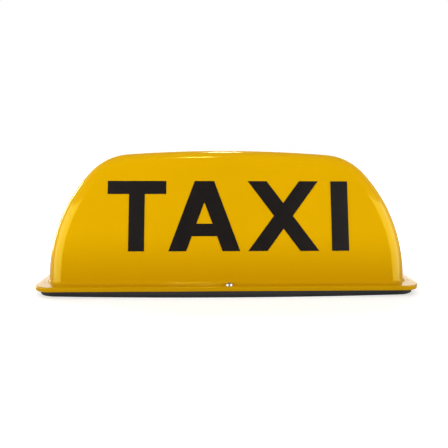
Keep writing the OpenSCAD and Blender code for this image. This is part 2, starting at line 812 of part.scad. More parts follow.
module terminal_block_screw() {
    color("#c2c2bd") translate([way_pitch / 2, block_y, 0]) difference() {
        union() {
            rod(1.3, 2.4, floor_z + 6 + eps);
            rod(1.7, floor_z + 6, floor_z + 8);
        }
        translate([-2, -0.25, floor_z + 7.2]) cube([4, 0.5, 1]);
    }
}

// A lead from under the clamping screw of one way, straight out of the block, then in a curve
module lead(way, out, past, end) {
    x = way * way_pitch;
    bar_along(concat([[x, block_y + 1.5, way_z]],
        curve([[x, block_y - block.y / 2 - 0.5, way_z], [x, out, way_z], past, end], lead_steps)),
        lead_r, lead_sides);
}
tag_lead_z = tag_z + tag_t + lead_r;
module feed_lead(side, way) {
    color("#b3261e")
        lead(way, 16, [side * 26, 14, tag_lead_z], [side * (lamp_x + 1), 14, tag_lead_z]);
}
module feed_lead_left() { feed_lead(-1, -1); }
module feed_lead_right() { feed_lead(1, 0); }

earth_top = bracket_top + earth_t;
earth_lead_z = earth_top + lead_r + 0.1;
module earth_lead() {
    color("#1b1b1b")
        lead(1, 17, [boss_x, 26, earth_lead_z], [boss_x, 4.5, earth_lead_z]);
}

module earth_ring() {
    color("#c9cbcb") translate([boss_x, 0, 0]) {
        tube(3.6, bracket_screw_r + 0.1, bracket_top, earth_top);
        translate([-1.4, 3.2, bracket_top]) cube([2.8, 6, earth_t]);
    }
}

dome();
front_lettering();
rear_lettering();
flange_gasket();
base_plate();
rubber_skirt();
cord_grommet();
dome_screws();
magnet_boot_front_left();
magnet_boot_front_right();
magnet_boot_rear_left();
magnet_boot_rear_right();
magnet_pot_front_left();
magnet_pot_front_right();
magnet_pot_rear_left();
magnet_pot_rear_right();
magnet_ring_front_left();
magnet_ring_front_right();
magnet_ring_rear_left();
magnet_ring_rear_right();
magnet_screws();
magnet_washers();
magnet_nuts();
lamp_bracket();
bracket_screws();
lamp_holder_left();
lamp_holder_right();
holder_insulator_left();
holder_insulator_right();
solder_tag_left();
solder_tag_right();
contact_spring_left();
contact_spring_right();
contact_disc_left();
contact_disc_right();
contact_button_left();
contact_button_right();
bulb_cap_left();
bulb_cap_right();
bulb_glass_left();
bulb_glass_right();
bulb_filament_left();
bulb_filament_right();
bulb_solder_left();
bulb_solder_right();
terminal_block();
terminal_inserts();
terminal_screws();
terminal_block_screw();
feed_lead_left();
feed_lead_right();
earth_lead();
earth_ring();
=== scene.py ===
"""Looks of a magnetic taxi roof sign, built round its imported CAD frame.

The dome, lettering, skirt, screws, magnet boots, cord grommet, bulbs and springs are remade here as
fine meshes. Every other CAD node is shown as it is. Each piece has its own procedural finish.
Sizes are in millimetres and are turned to metres on the way out. +Z is up and the front faces -Y.
"""

import logging
import math
from dataclasses import dataclass, field
from enum import Enum
from typing import Any, Sequence

import bmesh
import bpy
import numpy as np
from mathutils import Matrix, Vector

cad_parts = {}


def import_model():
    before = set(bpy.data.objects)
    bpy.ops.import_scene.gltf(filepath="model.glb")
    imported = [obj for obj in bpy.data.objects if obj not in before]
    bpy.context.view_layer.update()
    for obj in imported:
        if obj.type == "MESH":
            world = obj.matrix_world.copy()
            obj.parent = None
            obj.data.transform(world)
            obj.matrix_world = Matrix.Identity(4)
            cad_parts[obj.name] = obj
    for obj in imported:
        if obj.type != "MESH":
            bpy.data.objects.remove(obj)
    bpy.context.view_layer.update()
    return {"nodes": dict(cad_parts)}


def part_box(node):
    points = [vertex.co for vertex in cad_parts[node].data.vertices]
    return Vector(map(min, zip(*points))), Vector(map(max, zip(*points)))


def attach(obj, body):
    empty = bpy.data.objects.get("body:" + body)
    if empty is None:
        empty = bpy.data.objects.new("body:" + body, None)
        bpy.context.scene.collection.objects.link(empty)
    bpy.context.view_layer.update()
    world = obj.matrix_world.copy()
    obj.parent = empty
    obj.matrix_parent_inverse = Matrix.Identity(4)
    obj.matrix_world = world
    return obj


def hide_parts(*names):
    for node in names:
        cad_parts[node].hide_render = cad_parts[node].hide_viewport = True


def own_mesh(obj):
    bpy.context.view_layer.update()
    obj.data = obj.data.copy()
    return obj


LOG = logging.getLogger("roof_sign")
MM = 0.001
REARWARD = np.array([1.0, -1.0, 1.0])  # turns a front point to its mirror on the rear
MIX_COLOURS = (6, 7)  # places of a Mix node's two colour inputs
MIX_COLOUR = 2  # place of its colour output


# ---------------------------------------------------------------- colour and materials


def to_linear(hex_colour: str) -> tuple[float, float, float, float]:
    """Turns an sRGB colour to the linear values that shaders use.

    Args:
        hex_colour: Six hex digits, red first.

    Returns:
        Linear red, green and blue, then an alpha of 1.
    """
    shares = [int(hex_colour[i : i + 2], 16) / 255 for i in (0, 2, 4)]
    linear = [s / 12.92 if s <= 0.04045 else ((s + 0.055) / 1.055) ** 2.4 for s in shares]
    return (linear[0], linear[1], linear[2], 1.0)


def add_node(
    tree: bpy.types.NodeTree,
    kind: str,
    settings: dict[str, Any] | None = None,
    links: dict[str, bpy.types.NodeSocket] | None = None,
) -> bpy.types.Node:
    """Adds one node to a tree.

    Args:
        tree: The node tree.
        kind: The node's type name.
        settings: Values by name, each an input socket's or else a property of the node.
        links: Output sockets by the name of the input that each one feeds.

    Returns:
        The new node.
    """
    node = tree.nodes.new(kind)
    for name, value in (settings or {}).items():
        if name in node.inputs:
            node.inputs[name].default_value = value
        else:
            setattr(node, name, value)
    for name, source in (links or {}).items():
        tree.links.new(source, node.inputs[name])
    return node


def smooth_range(
    tree: bpy.types.NodeTree,
    value: bpy.types.NodeSocket,
    source: tuple[float, float],
    target: tuple[float, float],
) -> bpy.types.NodeSocket:
    """Maps one range of a value smoothly to another.

    Args:
        tree: The node tree.
        value: The socket that carries the value.
        source: The value's range.
        target: What the ends of that range become.

    Returns:
        The socket that carries the result.
    """
    names = ("From Min", "From Max", "To Min", "To Max")
    span = dict(zip(names, source + target), interpolation_type="SMOOTHSTEP")
    return add_node(tree, "ShaderNodeMapRange", span, {"Value": value}).outputs["Result"]


def seen_or_lit(
    tree: bpy.types.NodeTree, lit: bpy.types.NodeSocket, seen: bpy.types.NodeSocket
) -> bpy.types.NodeSocket:
    """Mixes a stage shader that lights the sign with the one that the camera sees.

    Args:
        tree: The node tree.
        lit: The shader for all other rays.
        seen: The shader for camera rays.

    Returns:
        The socket that carries the mixed shader.
    """
    ray = add_node(tree, "ShaderNodeLightPath").outputs["Is Camera Ray"]
    mix = add_node(tree, "ShaderNodeMixShader", links={"Fac": ray})
    for place, shader in enumerate((lit, seen), start=1):
        tree.links.new(shader, mix.inputs[place])
    return mix.outputs["Shader"]


class Grain(Enum):
    """How a surface's tone and relief vary."""

    CLOUD = "cloud"
    SPARK = "spark"
    BRUSHED = "brushed"


@dataclass(frozen=True)
class Finish:
    """One finish: a shader with a tone that varies and a fine relief.

    The tone runs from tint to shade with a noise whose features are grain_mm across. The relief is
    a second noise, relief_mm across and relief_depth_mm in depth.
    """

    name: str
    tint: str
    shade: str
    roughness: float
    metallic: float = 0.0
    ior: float = 1.5
    grain: Grain = Grain.CLOUD
    grain_mm: float = 4.0
    relief_mm: float = 1.0
    relief_depth_mm: float = 0.01
    transmission: float = 0.0
    subsurface: float = 0.0
    specular_tint: str = "FFFFFF"

    def coordinates(self, tree: bpy.types.NodeTree) -> bpy.types.NodeSocket:
        """Object coordinates in metres, squeezed along X for a brushed grain.

        Args:
            tree: The material's node tree.

        Returns:
            The socket that carries the coordinates.
        """
        place = add_node(tree, "ShaderNodeTexCoord").outputs["Object"]
        if self.grain is not Grain.BRUSHED:
            return place
        stretch = {"vector_type": "VECTOR", "Scale": (0.06, 1.0, 1.0)}
        return add_node(tree, "ShaderNodeMapping", stretch, {"Vector": place}).outputs["Vector"]

    def tone(self, tree: bpy.types.NodeTree, place: bpy.types.NodeSocket) -> bpy.types.NodeSocket:
        """The base colour, from tint to shade.

        Args:
            tree: The material's node tree.
            place: The coordinates.

        Returns:
            The socket that carries the colour.
        """
        cell = {"Scale": 1 / (self.grain_mm * MM), "Detail": 3.0}
        noise = add_node(tree, "ShaderNodeTexNoise", cell, {"Vector": place})
        ramp = add_node(tree, "ShaderNodeValToRGB", links={"Fac": noise.outputs["Fac"]})
        low, high = (0.46, 0.54) if self.grain is Grain.SPARK else (0.3, 0.7)
        ramp.color_ramp.elements[0].position = low
        ramp.color_ramp.elements[0].color = to_linear(self.shade)
        ramp.color_ramp.elements[1].position = high
        ramp.color_ramp.elements[1].color = to_linear(self.tint)
        return ramp.outputs["Color"]

    def relief(self, tree: bpy.types.NodeTree, place: bpy.types.NodeSocket) -> bpy.types.NodeSocket:
        """The fine relief of the surface.

        Args:
            tree: The material's node tree.
            place: The coordinates.

        Returns:
            The socket that carries the bent normal.
        """
        cell = {"Scale": 1 / (self.relief_mm * MM), "Detail": 2.0}
        noise = add_node(tree, "ShaderNodeTexNoise", cell, {"Vector": place})
        depth = {"Strength": 1.0, "Distance": self.relief_depth_mm * MM}
        bump = add_node(tree, "ShaderNodeBump", depth, {"Height": noise.outputs["Fac"]})
        return bump.outputs["Normal"]

    def shader_settings(self) -> dict[str, Any]:
        """Values set on the shader's own sockets."""
        return {
            "Roughness": self.roughness,
            "Metallic": self.metallic,
            "IOR": self.ior,
            "Transmission Weight": self.transmission,
            "Subsurface Weight": self.subsurface,
            "Specular Tint": to_linear(self.specular_tint),
        }

    def material(self) -> bpy.types.Material:
        """The Blender material of this finish, made once and then shared."""
        known = bpy.data.materials.get(self.name)
        if known:
            return known
        made = bpy.data.materials.new(self.name)
        made.use_nodes = True
        tree = made.node_tree
        tree.nodes.clear()
        place = self.coordinates(tree)
        feeds = {"Base Color": self.tone(tree, place), "Normal": self.relief(tree, place)}
        shader = add_node(tree, "ShaderNodeBsdfPrincipled", self.shader_settings(), feeds)
        add_node(tree, "ShaderNodeOutputMaterial", links={"Surface": shader.outputs["BSDF"]})
        return made


@dataclass(frozen=True)
class FormedAcrylic(Finish):
    """Pigmented acrylic sheet, vacuum-formed over a plug.

    The tone runs up the object's own Z and is painted shade: darker towards the flange, as the dark
    base inside and the flange shelf shade the foot of the dome, and paler over the crown.
    """

    # painted shade: the dome's colour at the flange, where the dark base shades it
    painted_foot_shade: str = "D09A00"
    low_mm: float = 6.0
    high_mm: float = 60.0

    def tone(self, tree: bpy.types.NodeTree, place: bpy.types.NodeSocket) -> bpy.types.NodeSocket:
        """The base colour, with painted shade: darker towards the flange, with a faint cloud over it.

        Args:
            tree: The material's node tree.
            place: The coordinates.

        Returns:
            The socket that carries the colour.
        """
        cloud = Finish.tone(self, tree, place)
        split = add_node(tree, "ShaderNodeSeparateXYZ", links={"Vector": place})
        span = (self.low_mm * MM, self.high_mm * MM)
        # painted shade: the colour darkens from high_mm down to low_mm in height
        height = smooth_range(tree, split.outputs["Z"], span, (0.0, 1.0))
        mix = add_node(tree, "ShaderNodeMix", {"data_type": "RGBA"}, {"Factor": height})
        first, second = MIX_COLOURS
        mix.inputs[first].default_value = to_linear(self.painted_foot_shade)
        tree.links.new(cloud, mix.inputs[second])
        return mix.outputs[MIX_COLOUR]


# Vacuum-formed acrylic: wet gloss, a very faint waviness in its reflections
ACRYLIC = FormedAcrylic(
    "formed_acrylic_yellow", "F2B800", "EEB400", 0.1, ior=1.49, grain_mm=90, relief_mm=45,
    relief_depth_mm=0.05, specular_tint="FFFF60",
)
# Calendered vinyl film, satin, with the slight pebble of its adhesive showing through
VINYL = Finish(
    "cut_vinyl_black", "1C1714", "161210", 0.24, grain_mm=12, relief_mm=3, relief_depth_mm=0.006
)
# Injection-moulded ABS with a fine spark-eroded texture, which scatters light to a grey bloom
ABS = Finish(
    "moulded_abs_charcoal", "2D2E2C", "232422", 0.55, grain=Grain.SPARK, grain_mm=0.9,
    relief_mm=0.6, relief_depth_mm=0.03,
)
# Compression-moulded rubber, matt and slightly bloomed
RUBBER = Finish(
    "moulded_rubber_black", "18191A", "111212", 0.6, ior=1.52, grain_mm=6, relief_mm=0.8,
    relief_depth_mm=0.02,
)
# Zinc-plated steel: bright, a faint cloudy passivation
ZINC = Finish(
    "zinc_plated_steel", "D9DBDA", "B4B7B8", 0.3, metallic=1.0, grain_mm=1.6, relief_mm=0.5,
    relief_depth_mm=0.004,
)
# Cold-rolled strip, zinc-plated: the roller's lines run along it
STRIP = Finish(
    "rolled_zinc_strip", "CFD1D0", "A9ACAD", 0.36, metallic=1.0, grain=Grain.BRUSHED, grain_mm=0.6,
    relief_mm=0.5, relief_depth_mm=0.006,
)
# Sintered ferrite: dark grey, dull, with pressed grains
FERRITE = Finish(
    "sintered_ferrite", "4A4744", "2E2C2A", 0.62, grain=Grain.SPARK, grain_mm=0.7, relief_mm=0.5,
    relief_depth_mm=0.02,
)
# Drawn brass, slightly tarnished
BRASS = Finish(
    "drawn_brass", "D8B25C", "B48C3C", 0.28, metallic=1.0, grain_mm=2.2, relief_mm=0.6,
    relief_depth_mm=0.004,
)
# Brass shell under a thin nickel plate
NICKEL = Finish(
    "nickel_plated_brass", "D9D2BE", "B8AF98", 0.22, metallic=1.0, grain_mm=3, relief_mm=0.8,
    relief_depth_mm=0.003,
)
# Patented spring wire, drawn, dark
SPRING_WIRE = Finish(
    "spring_wire", "9A9C9E", "7C7E80", 0.32, metallic=1.0, grain=Grain.BRUSHED, grain_mm=0.3,
    relief_mm=0.2, relief_depth_mm=0.003,
)
# Pressed phenolic laminate: brown, its paper fibres just visible
PHENOLIC = Finish(
    "phenolic_laminate", "7D5331", "5E3A20", 0.5, grain=Grain.BRUSHED, grain_mm=0.8, relief_mm=0.6,
    relief_depth_mm=0.008,
)
# Blown lamp glass
LAMP_GLASS = Finish(
    "blown_lamp_glass", "FFFFFF", "F6FBFA", 0.02, ior=1.5, transmission=1.0, grain_mm=8,
    relief_mm=5, relief_depth_mm=0.01,
)
# Drawn tungsten
TUNGSTEN = Finish(
    "drawn_tungsten", "8E8E90", "6C6C6E", 0.35, metallic=1.0, grain_mm=0.4, relief_mm=0.2,
    relief_depth_mm=0.002,
)
# Tin solder, frozen from a drop
SOLDER = Finish(
    "tin_solder", "BFC1C0", "9C9E9E", 0.3, metallic=1.0, grain_mm=0.8, relief_mm=0.7,
    relief_depth_mm=0.02,
)
# Moulded nylon, natural cream, waxy
NYLON = Finish(
    "moulded_nylon_natural", "EAE5D6", "DDD6C3", 0.42, ior=1.53, grain_mm=5, relief_mm=1.2,
    relief_depth_mm=0.01, subsurface=0.05,
)
# Extruded PVC insulation, red or black
PVC_RED = Finish(
    "pvc_insulation_red", "B8261C", "9E1E16", 0.34, grain_mm=3, relief_mm=1, relief_depth_mm=0.006
)
PVC_BLACK = Finish(
    "pvc_insulation_black", "202020", "171717", 0.36, grain_mm=3, relief_mm=1, relief_depth_mm=0.006
)

# Matt white laminate under the sign
TABLE = Finish("table_laminate", "FCFCFC", "F8F8F8", 0.8, grain_mm=200, relief_mm=5)

# The CAD nodes that are shown as they are, by their finish and the start of their name
CARRIED_FINISHES: dict[str, Finish] = {
    start: finish
    for finish, starts in (
        (ABS, "base_plate"),
        (RUBBER, "flange_gasket"),
        (ZINC, "magnet_pot magnet_washers magnet_nuts magnet_screws bracket_screws"),
        (ZINC, "terminal_block_screw terminal_screws"),
        (FERRITE, "magnet_ring"),
        (STRIP, "lamp_bracket"),
        (NICKEL, "lamp_holder bulb_cap earth_ring"),
        (PHENOLIC, "holder_insulator contact_disc"),
        (BRASS, "solder_tag contact_button terminal_inserts"),
        (SOLDER, "bulb_solder"),
        (NYLON, "terminal_block"),
        (PVC_RED, "feed_lead"),
        (PVC_BLACK, "earth_lead"),
    )
    for start in starts.split()
}


# ---------------------------------------------------------------- meshes


@dataclass
class Maker:
    """Collects points in millimetres and faces, and makes one object from them."""

    name: str
    points: list[np.ndarray] = field(default_factory=list)
    faces: list[tuple[int, ...]] = field(default_factory=list)
    count: int = 0

    def add(self, points: np.ndarray) -> np.ndarray:
        """Adds points.

        Args:
            points: An array whose last axis is x, y and z.

        Returns:
            Their places in the mesh, in the same arrangement.
        """
        flat = np.asarray(points, float).reshape(-1, 3)
        places = np.arange(self.count, self.count + len(flat)).reshape(np.shape(points)[:-1])
        self.points.append(flat)
        self.count += len(flat)
        return places

    def skin(self, places: np.ndarray, flip: bool = False, closed: bool = False) -> None:
        """Covers a grid of places with quads.

        Args:
            places: Rows and columns of places.
            flip: Whether the faces turn the other way.
            closed: Whether the last column joins the first.
        """
        if closed:
            places = np.column_stack([places, places[:, :1]])
        quads = np.stack(
            [places[:-1, :-1], places[:-1, 1:], places[1:, 1:], places[1:, :-1]], axis=-1
        ).reshape(-1, 4)
        for quad in quads[:, ::-1] if flip else quads:
            self.faces.append(tuple(int(i) for i in quad))

    def cap(self, ring: np.ndarray, flip: bool = False) -> None:
        """Closes a ring of places with one face."""
        self.faces.append(tuple(int(i) for i in (ring[::-1] if flip else ring)))

    def lathe(self, profile: Sequence[tuple[float, float]], place: Matrix, steps: int = 64) -> None:
        """Turns a profile about the local Z axis.

        Args:
            profile: Radius and height of each point; a radius of 0 closes the end to a point,
                and a last point like the first one closes the profile.
            place: Where the local frame stands, in millimetres.
            steps: Points round the axis.
        """
        turn = np.linspace(0, 2 * math.pi, steps, endpoint=False)
        rings = []
        joined = profile[0] == profile[-1]
        for radius, height in profile[:-1] if joined else profile:
            if radius <= 0:
                local = np.array([[0.0, 0.0, height]])
            else:
                high = np.full(steps, height)
                local = np.column_stack([radius * np.cos(turn), radius * np.sin(turn), high])
            rings.append(self.add(transformed(local, place)))
        for low, high in zip(rings, rings[1:] + rings[:1] if joined else rings[1:]):
            if len(low) == 1:
                self.fan(int(low[0]), high, flip=True)
            elif len(high) == 1:
                self.fan(int(high[0]), low)
            else:
                self.skin(np.stack([low, high]), closed=True)

    def fan(self, tip: int, ring: np.ndarray, flip: bool = False) -> None:
        """Joins a tip to each edge of a closed ring."""
        for a, b in zip(ring, np.roll(ring, -1)):
            self.faces.append((tip, int(b), int(a)) if flip else (tip, int(a), int(b)))

    def tube(self, path: np.ndarray, radius: float, sides: int = 12) -> None:
        """Sweeps a round bar along a path and caps its ends.

        Args:
            path: Points of the path.
            radius: Radius of the bar.
            sides: Points round the bar.
        """
        along = np.gradient(path, axis=0)
        along /= np.linalg.norm(along, axis=1)[:, None]
        across = np.cross(along, [0.0, 0.0, 1.0])
        across /= np.linalg.norm(across, axis=1)[:, None]
        other = np.cross(along, across)
        turn = np.linspace(0, 2 * math.pi, sides, endpoint=False)
        ring = (
            np.cos(turn)[None, :, None] * across[:, None, :]
            + np.sin(turn)[None, :, None] * other[:, None, :]
        )
        places = self.add(path[:, None, :] + radius * ring)
        self.skin(places, closed=True)
        self.cap(places[0])
        self.cap(places[-1], flip=True)

    def object(
        self, finish: Finish, sharp_deg: float = 35.0, nested: bool = False
    ) -> bpy.types.Object:
        """Makes the object, smooth apart from its sharp edges.

        Args:
            finish: Its finish.
            sharp_deg: The angle between faces from which their edge is sharp.
            nested: Whether it has one skin inside another, so that the faces keep the way they turn.

        Returns:
            The object, linked to the scene.
        """
        mesh = bpy.data.meshes.new(self.name)
        mesh.from_pydata((np.vstack(self.points) * MM).tolist(), [], self.faces)
        mesh.validate()
        if not nested:
            tidy = bmesh.new()
            tidy.from_mesh(mesh)
            bmesh.ops.recalc_face_normals(tidy, faces=tidy.faces)
            tidy.to_mesh(mesh)
            tidy.free()
        return shown(mesh, self.name, finish, sharp_deg)


def shown(mesh: bpy.types.Mesh, name: str, finish: Finish, sharp_deg: float) -> bpy.types.Object:
    """Links a mesh to the scene as an object with a finish.

    Args:
        mesh: The mesh, in metres.
        name: The object's name.
        finish: Its finish.
        sharp_deg: The angle between faces from which their edge is sharp.

    Returns:
        The object.
    """
    mesh.shade_smooth()
    mesh.set_sharp_from_angle(angle=math.radians(sharp_deg))
    mesh.materials.append(finish.material())
    made = bpy.data.objects.new(name, mesh)
    bpy.context.scene.collection.objects.link(made)
    return made


def transformed(points: np.ndarray, place: Matrix) -> np.ndarray:
    """Moves points by a matrix."""
    turn = np.array(place.to_3x3())
    return points @ turn.T + np.array(place.to_translation())


def arc(
    centre: tuple[float, float], radius: float, start: float, end: float, steps: int
) -> list[tuple[float, float]]:
    """Points along an arc.

    Args:
        centre: Its centre.
        radius: Its radius.
        start: Angle of its first point, in degrees.
        end: Angle of its last point.
        steps: How many stretches it is cut into.

    Returns:
        The points, both ends included.
    """
    turns = [math.radians(start + (end - start) * i / steps) for i in range(steps + 1)]
    return [(centre[0] + radius * math.cos(t), centre[1] + radius * math.sin(t)) for t in turns]


def frame_box(node: str) -> tuple[np.ndarray, np.ndarray]:
    """Lowest and highest corners of a CAD node, in millimetres."""
    low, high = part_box(node)
    return np.array(low) / MM, np.array(high) / MM


class SubAssembly:
    """A group of pieces that are made and dressed together."""

    def place(self, piece: bpy.types.Object, body: str, slot: str, *nodes: str) -> bpy.types.Object:
        """Puts a finished piece on its body.

        Args:
            piece: The piece, in place.
            body: The CAD body that it moves with.
            slot: Not used.
            nodes: The CAD nodes that it stands for.

        Returns:
            The piece.
        """
        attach(piece, body)
        if nodes:
            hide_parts(*nodes)
        LOG.info("%s: %d faces on body %s", piece.name, len(piece.data.polygons), body)
        return piece

    def build(self) -> None:
        """Makes the group's pieces."""
        raise NotImplementedError


# ---------------------------------------------------------------- dome and lettering


@dataclass
class Dome(SubAssembly):
    """The vacuum-formed acrylic dome with its flange and turned-down rim."""

    lean_deg: float = 14.0
    edge_r: float = 15.0
    wall: float = 2.5
    end_shelf: float = 8.5
    side_shelf: float = 11.0
    flange_r: float = 15.0
    flange_t: float = 2.5
    rim_drop: float = 1.6
    rim_t: float = 2.2
    rim_round: float = 0.9
    foot_fillet: float = 3.5
    flank_r: float = 134.0
    flank_z: float = 20.0
    shoulder_r: float = 54.0
    crown_r: float = 1300.0
    swell: float = 0.8
    flank_steps: int = 22
    shoulder_steps: int = 22
    crown_steps: int = 26
    edge_steps: int = 12
    band_steps: int = 10
    face_rows: int = 14
    shelf_shares: tuple[float, float] = (0.75, 0.4)
    fillet_steps: int = 7
    rim_steps: tuple[int, int] = (5, 4)

    def __post_init__(self) -> None:
        """Works out the outline's arcs from the CAD node's box."""
        low, high = frame_box("dome")
        self.half_l, self.half_w, self.crown_z = high[0], high[1], high[2]
        self.rim_z = low[2]
        self.flange_z = self.rim_z + self.flange_t + self.rim_drop
        self.foot_z = self.flange_z + self.foot_fillet
        self.foot_hl = self.half_l - self.end_shelf
        self.foot_hw = self.half_w - self.side_shelf
        self.lean = math.radians(self.lean_deg)
        self.face_n = np.array([0.0, -math.cos(self.lean), math.sin(self.lean)])
        self.flank_c = np.array([self.foot_hl - self.flank_r, self.flank_z])
        self.crown_c = np.array([0.0, self.crown_z - self.crown_r])
        self.shoulder_c = self.between(
            self.flank_c, self.flank_r - self.shoulder_r, self.crown_c, self.crown_r - self.shoulder_r
        )
        self.flank_end = self.bearing(self.flank_c)
        self.crown_end = self.bearing(self.crown_c)

    @staticmethod
    def between(a: np.ndarray, ra: float, b: np.ndarray, rb: float) -> np.ndarray:
        """The point at distance ra from a and rb from b, outside the line between them."""
        span = b - a
        d = float(np.linalg.norm(span))
        unit = span / d
        k = (ra * ra - rb * rb + d * d) / (2 * d)
        return a + k * unit + math.sqrt(ra * ra - k * k) * np.array([-unit[1], unit[0]])

    def bearing(self, centre: np.ndarray) -> float:
        """Angle of the shoulder's centre from another arc's centre."""
        d = self.shoulder_c - centre
        return math.atan2(d[1], d[0])

    def angles(self) -> np.ndarray:
        """Angles of the outline's normals, from the left foot over the crown to the right foot."""
        half = np.concatenate(
            [
                np.linspace(0, self.flank_end, self.flank_steps + 1),
                np.linspace(self.flank_end, self.crown_end, self.shoulder_steps + 1)[1:],
                np.linspace(self.crown_end, math.pi / 2, self.crown_steps + 1)[1:],
            ]
        )
        return np.concatenate([math.pi - half, half[-2::-1]])

    def core_arc(self, on_flank: bool, below_crown: bool) -> tuple[np.ndarray, float]:
        """Centre and radius of one of the three arcs, moved in by the rounding."""
        if on_flank:
            return self.flank_c, self.flank_r - self.edge_r
        if below_crown:
            return self.shoulder_c, self.shoulder_r - self.edge_r
        return self.crown_c, self.crown_r - self.edge_r

    def core(self, angle: float) -> tuple[float, float]:
        """The point edge_r inside the outline, where its normal has an angle."""
        side = -1.0 if angle > math.pi / 2 else 1.0
        turn = math.pi - angle if side < 0 else angle
        centre, reach = self.core_arc(turn <= self.flank_end, turn <= self.crown_end)
        return side * (centre[0] + reach * math.cos(turn)), centre[1] + reach * math.sin(turn)

    def core_height(self, x: float) -> float:
        """Height of the core line over a place along the sign."""
        flank_x = self.core(self.flank_end)[0]
        crown_x = self.core(self.crown_end)[0]
        centre, reach = self.core_arc(abs(x) >= flank_x, abs(x) >= crown_x)
        offset = min(abs(abs(x) - centre[0]), reach)
        return centre[1] + math.sqrt(reach * reach - offset * offset)

    def wall_y(self, z: float, radius: float) -> float:
        """Half depth of a face at a height, for the outer skin or one further in."""
        drop = (z - self.flange_z) * math.tan(self.lean)
        return self.foot_hw - drop - (self.edge_r - radius) / math.cos(self.lean)

    def edge_normals(self, outline: np.ndarray) -> np.ndarray:
        """Normals across the rounding, from the face's to the outline's own."""
        width = math.acos(float(self.face_n @ outline))
        t = np.linspace(0, 1, self.edge_steps + 1)[:, None]
        rows = np.sin((1 - t) * width) * self.face_n + np.sin(t * width) * outline
        return rows / math.sin(width)

    def face_swell(self, x: float, z: float) -> float:
        """How far the face stands out from its plane: most at its middle, none at its edges."""
        top = self.core_height(x) + self.edge_r * self.face_n[2]
        across = min(1.0, abs(x) / (self.foot_hl - self.edge_r))
        up = np.clip((z - self.foot_z) / (top - self.foot_z), 0, 1)
        return float(self.swell * (1 - across**2) ** 2 * (1 - (2 * up - 1) ** 2) ** 2)

    def face_point(self, x: float, up: float, out: float = 0.0) -> np.ndarray:
        """A point on the front face.

        Args:
            x: Place along the sign.
            up: Distance from the flange's top, up the face's plane.
            out: Distance out from the skin.

        Returns:
            The point.
        """
        z = self.flange_z + up * math.cos(self.lean)
        plane = np.array([x, -self.foot_hw + up * math.sin(self.lean), z])
        return plane + (self.face_swell(x, z) + out) * self.face_n

    def section(self, angle: float, radius: float) -> np.ndarray:
        """Points across the dome at one normal of the outline, from front foot to rear foot."""
        x, z = self.core(angle)
        outline = np.array([math.cos(angle), 0.0, math.sin(angle)])
        y = self.wall_y(z, 0.0)
        rounded = np.array([x, -y, z]) + radius * self.edge_normals(outline)
        foot = np.array([x, -self.wall_y(self.foot_z, radius), self.foot_z])
        t = np.linspace(0, 1, self.face_rows + 1)[:-1, None]
        rows = foot + t * (rounded[0] - foot)
        rows = rows + np.array([self.face_swell(x, p[2]) for p in rows])[:, None] * self.face_n
        steps = (2 * np.arange(1, self.band_steps) / self.band_steps - 1)[:, None]
        band = np.array([x, 0.0, z]) + steps * np.array([0.0, y, 0.0]) + radius * outline
        front = np.vstack([rows, rounded])
        rear = front[::-1] * REARWARD
        return np.vstack([front, band, rear])

    def end_foot(self, side: float, radius: float) -> np.ndarray:
        """Points of the foot round one end, from the front face's edge to the rear face's."""
        normals = self.edge_normals(np.array([side, 0.0, 0.0]))
        x = side * (self.foot_hl - self.edge_r)
        z = self.foot_z - radius * normals[:, 2]
        y = np.array([self.wall_y(h, 0.0) for h in z])
        front = np.column_stack([np.full(len(z), x), -y, z]) + radius * normals
        steps = (2 * np.arange(1, self.band_steps) / self.band_steps - 1)[:, None]
        reach = np.array([x + side * radius, 0.0, self.foot_z])
        band = reach + steps * np.array([0.0, self.wall_y(self.foot_z, 0.0), 0.0])
        return np.vstack([front, band, front[::-1] * REARWARD])

    def add_skin(self, maker: Maker, radius: float, flip: bool) -> np.ndarray:
        """Adds one skin of the dome.

        Args:
            maker: The mesh under construction.
            radius: Radius of the rounding on this skin.
            flip: Whether this is the inner skin.

        Returns:
            Places of the ring along its foot, anticlockwise from above.
        """
        sheet = maker.add(np.array([self.section(a, radius) for a in self.angles()]))
        maker.skin(sheet, flip=not flip)
        rows = self.face_rows
        ends = {}
        for side, line in ((1.0, sheet[-1]), (-1.0, sheet[0])):
            top = line[rows : len(line) - rows]
            bottom = self.end_foot(side, radius)
            points = np.vstack(maker.points)
            t = np.linspace(0, 1, rows + 1)[:-1, None, None]
            inner = bottom[None, 1:-1] + t * (points[top[1:-1]] - bottom[1:-1])[None]
            places = maker.add(inner)
            left, right = line[:rows], line[len(line) - rows :][::-1]
            grid = np.vstack([np.column_stack([left, places, right]), top])
            maker.skin(grid, flip=flip if side > 0 else not flip)
            ends[side] = places[0]
        return np.concatenate([sheet[:, 0], ends[1.0], sheet[::-1, -1], ends[-1.0][::-1]])

    def ring_frame(self) -> tuple[np.ndarray, np.ndarray]:
        """For each place of the foot's ring, its direction in plan and its centre on the flange."""
        cx, cy = self.half_l - self.flange_r, self.half_w - self.flange_r
        scale = cx / (self.foot_hl - self.edge_r)
        xs = np.array([self.core(a)[0] for a in self.angles()]) * scale
        normals = self.edge_normals(np.array([1.0, 0.0, 0.0]))[1:, :2]
        normals /= np.linalg.norm(normals, axis=1)[:, None]
        steps = 2 * np.arange(1, self.band_steps) / self.band_steps - 1
        band = np.column_stack([np.ones_like(steps), np.zeros_like(steps)])
        end_dirs = np.vstack([normals, band, normals[::-1] * [1, -1]])
        count = len(normals)
        end_centres = np.vstack(
            [
                np.tile([cx, -cy], (count, 1)),
                np.column_stack([np.full(len(steps), cx), cy * steps]),
                np.tile([cx, cy], (count, 1)),
            ]
        )
        front = np.column_stack([xs, np.full(len(xs), -cy)])
        dirs = np.vstack([np.tile([0.0, -1.0], (len(xs), 1)), end_dirs])
        centres = np.vstack([front, end_centres])
        return np.vstack([dirs, -dirs]), np.vstack([centres, -centres])

